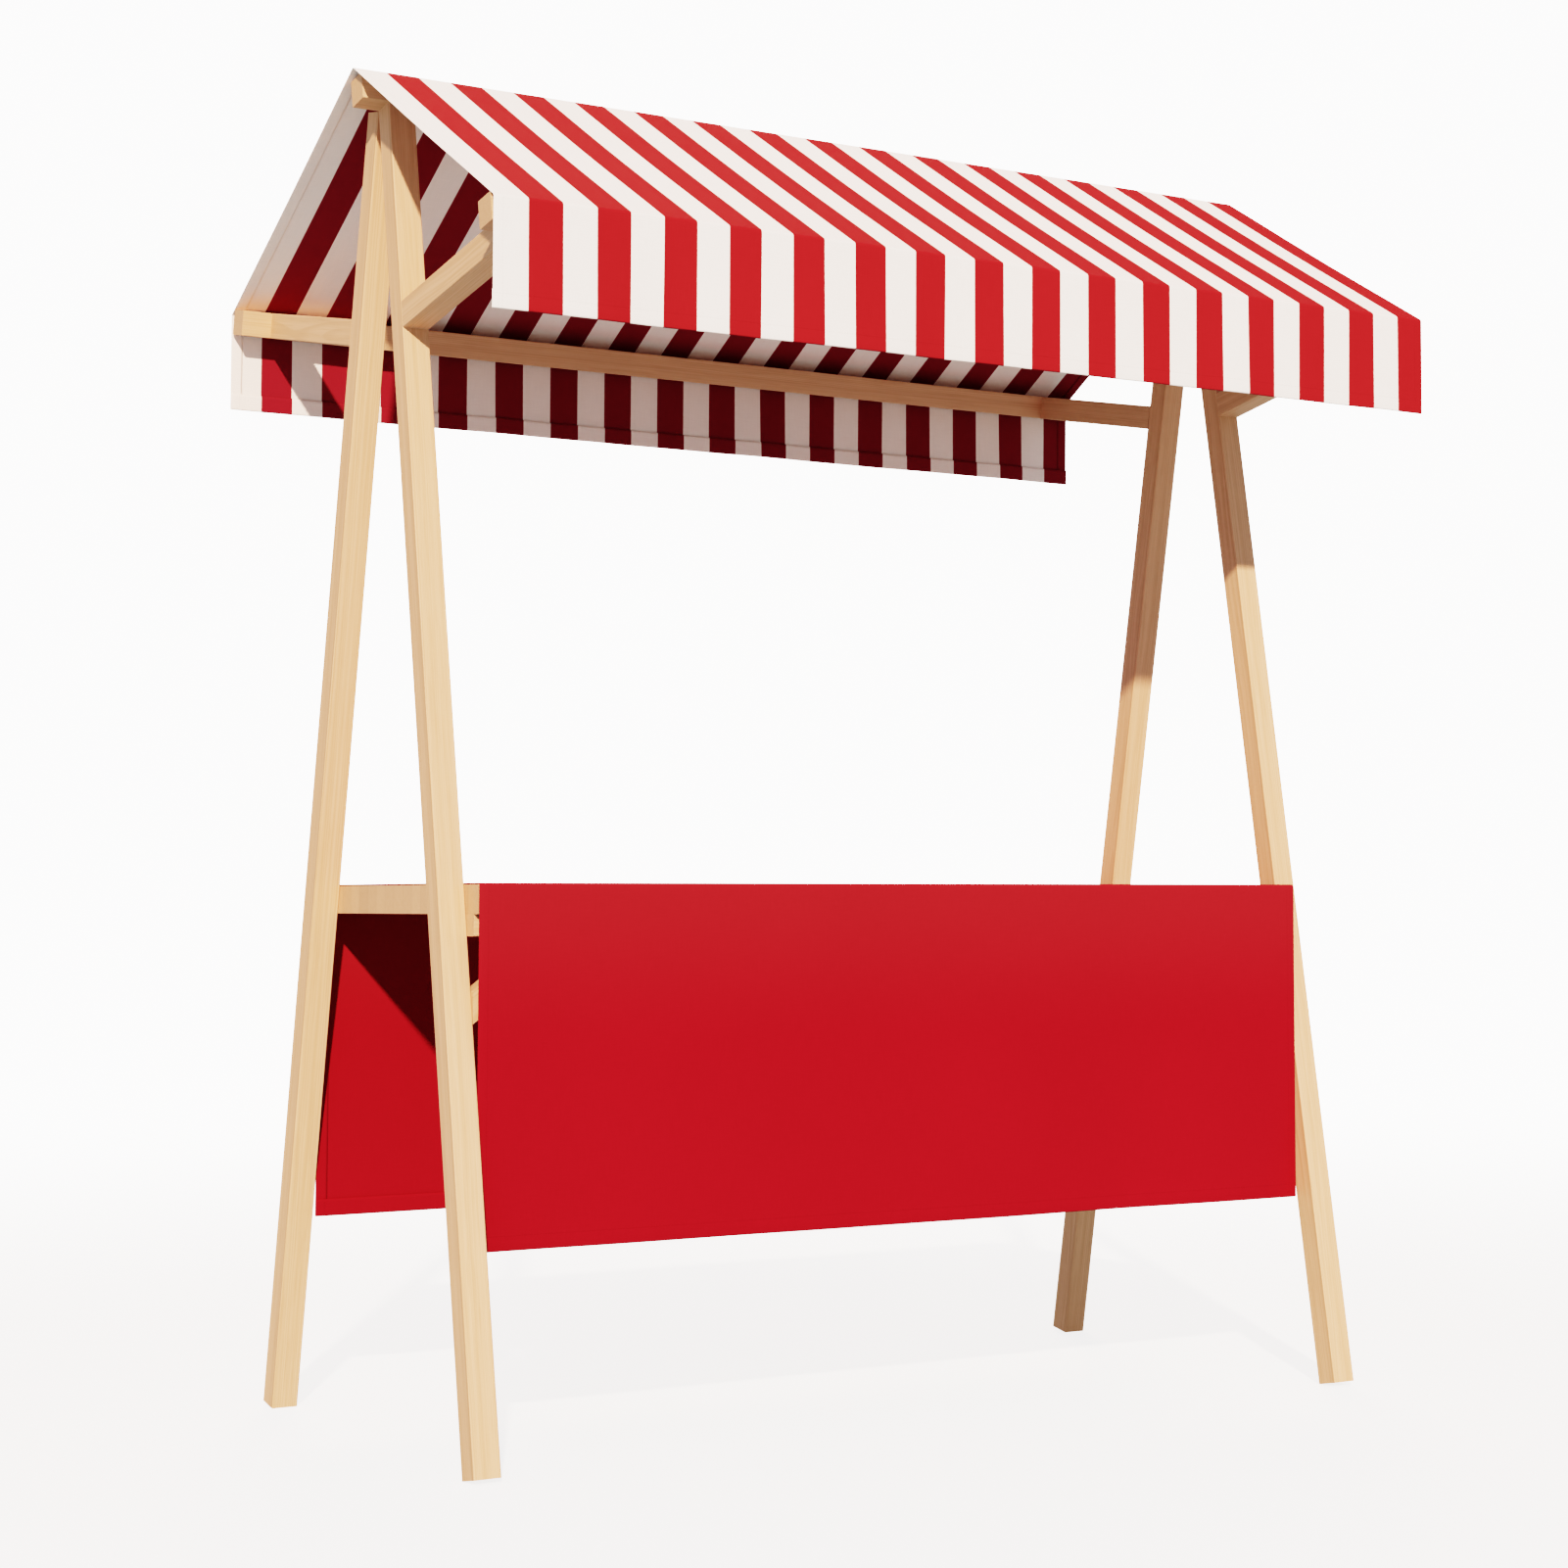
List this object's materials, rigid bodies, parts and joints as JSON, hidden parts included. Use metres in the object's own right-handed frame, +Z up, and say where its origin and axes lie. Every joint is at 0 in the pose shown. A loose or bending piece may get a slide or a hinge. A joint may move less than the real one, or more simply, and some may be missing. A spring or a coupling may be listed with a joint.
{
  "type": "wooden market stall",
  "caption": "Open timber A-frame market stall with a pitched striped cloth canopy, hanging valances and a cloth-draped counter board between the frames.",
  "frame": {"origin": "on the ground, under the middle of the canopy's ridge", "axes": "+Z up, +X along the stall to the right as seen from the serving front, the serving front faces -Y"},
  "size_m": [2.02, 1.25, 2.488],
  "materials": {
    "wood": "planed pale softwood, matt, fine straight grain",
    "canopy_cloth": "woven canvas, broad red and white stripes",
    "counter_cloth": "plain woven red cloth, matt"
  },
  "bodies": {
    "root": {"front_left_leg": "wood", "front_right_leg": "wood", "back_left_leg": "wood", "back_right_leg": "wood", "ridge_beam": "wood", "front_left_arm": "wood", "front_right_arm": "wood", "back_left_arm": "wood", "back_right_arm": "wood", "front_purlin": "wood", "back_purlin": "wood", "canopy_front_slope": "canopy_cloth", "canopy_back_slope": "canopy_cloth", "canopy_front_valance": "canopy_cloth", "canopy_back_valance": "canopy_cloth", "counter_board": "wood", "counter_front_rail": "wood", "counter_left_brace": "wood", "counter_right_brace": "wood", "counter_cloth_top": "counter_cloth", "counter_cloth_front": "counter_cloth", "counter_cloth_back": "counter_cloth"}
  },
  "joints": []
}
